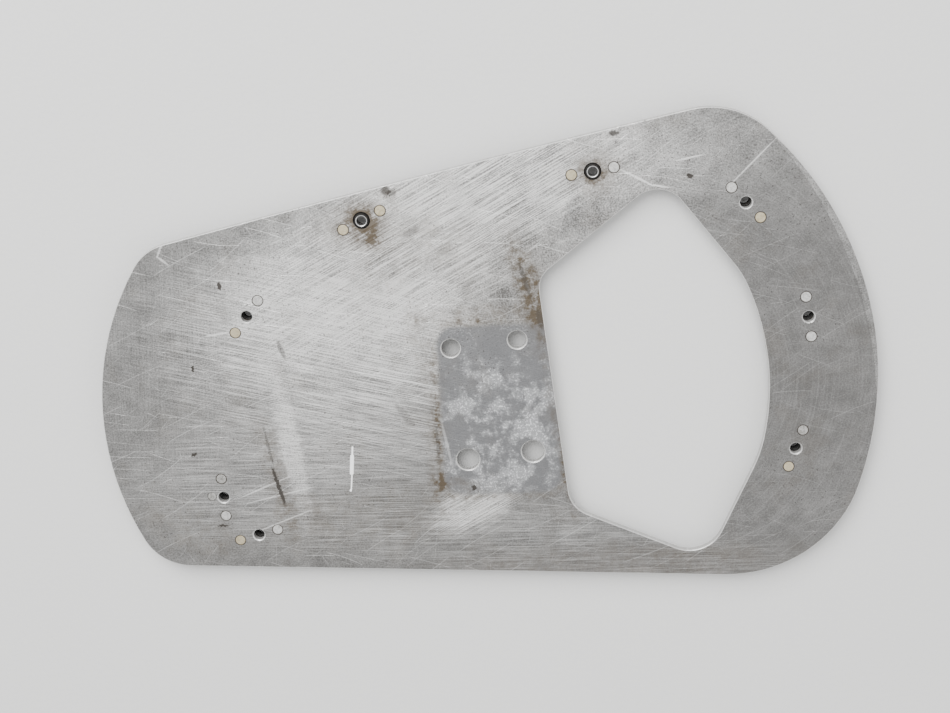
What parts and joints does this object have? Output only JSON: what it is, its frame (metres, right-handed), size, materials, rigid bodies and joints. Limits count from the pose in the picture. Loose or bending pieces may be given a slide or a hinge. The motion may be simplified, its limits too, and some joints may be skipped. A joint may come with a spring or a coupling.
{
  "type": "landing gear mounting plate",
  "caption": "Flat aluminium plate with a large six-sided cut-out, axle bolt holes and riveted anchor nuts, for fixing a wheel fairing to a landing gear leg.",
  "frame": {"origin": "centre of the axle bolt pattern, on the front face", "axes": "+X along the bolt pattern's short side, towards the cut-out; +Y along its long side, towards the edge with the two barrels that come through; +Z out of the front face"},
  "size_m": [0.3314, 0.2069, 0.0094],
  "materials": {
    "plate": "sanded, worn and stained",
    "nut": "dark dry film, worn",
    "rivet": "satin"
  },
  "bodies": {
    "root": {"mounting_plate": "plate", "anchor_nut_left_upper": "nut", "anchor_nut_left_lower": "nut", "anchor_nut_bottom_left": "nut", "anchor_nut_right_upper": "nut", "anchor_nut_right_middle": "nut", "anchor_nut_right_lower": "nut", "anchor_nut_top_left": "nut", "anchor_nut_top_right": "nut", "rivet_left_upper_a": "rivet", "rivet_left_upper_b": "rivet", "rivet_left_lower_a": "rivet", "rivet_left_lower_b": "rivet", "rivet_bottom_left_a": "rivet", "rivet_bottom_left_b": "rivet", "rivet_right_upper_a": "rivet", "rivet_right_upper_b": "rivet", "rivet_right_middle_a": "rivet", "rivet_right_middle_b": "rivet", "rivet_right_lower_a": "rivet", "rivet_right_lower_b": "rivet", "rivet_top_left_a": "rivet", "rivet_top_left_b": "rivet", "rivet_top_right_a": "rivet", "rivet_top_right_b": "rivet", "plug_rivet": "rivet"}
  },
  "joints": []
}
